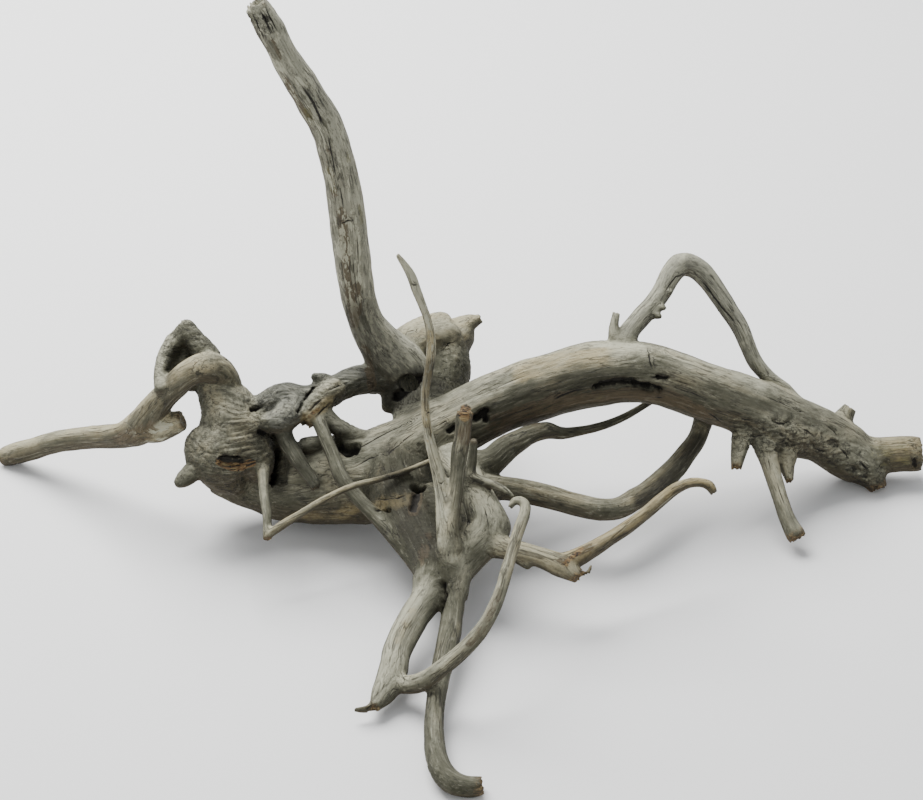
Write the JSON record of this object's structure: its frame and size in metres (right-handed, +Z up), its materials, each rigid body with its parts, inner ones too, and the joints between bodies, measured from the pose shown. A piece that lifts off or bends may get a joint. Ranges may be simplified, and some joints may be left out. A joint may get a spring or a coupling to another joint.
{
  "type": "piece of driftwood",
  "caption": "Weathered branching driftwood: an arched trunk with a tall limb, a gnarled burl, long roots and thin twigs, standing on low spots of its own underside.",
  "frame": {"origin": "middle of the small flat under the tip of the long front root, on the surface that the piece stands on", "axes": "+Z up, +X to the right along the piece's length as seen from the front root's side, +Y away from that side"},
  "size_m": [0.9631, 0.5976, 0.5616],
  "materials": {
    "weathered_wood": "dry, weathered and unfinished, silver-grey with warm beige and olive-brown streaks"
  },
  "bodies": {
    "root": {"driftwood": "weathered_wood"}
  },
  "joints": []
}
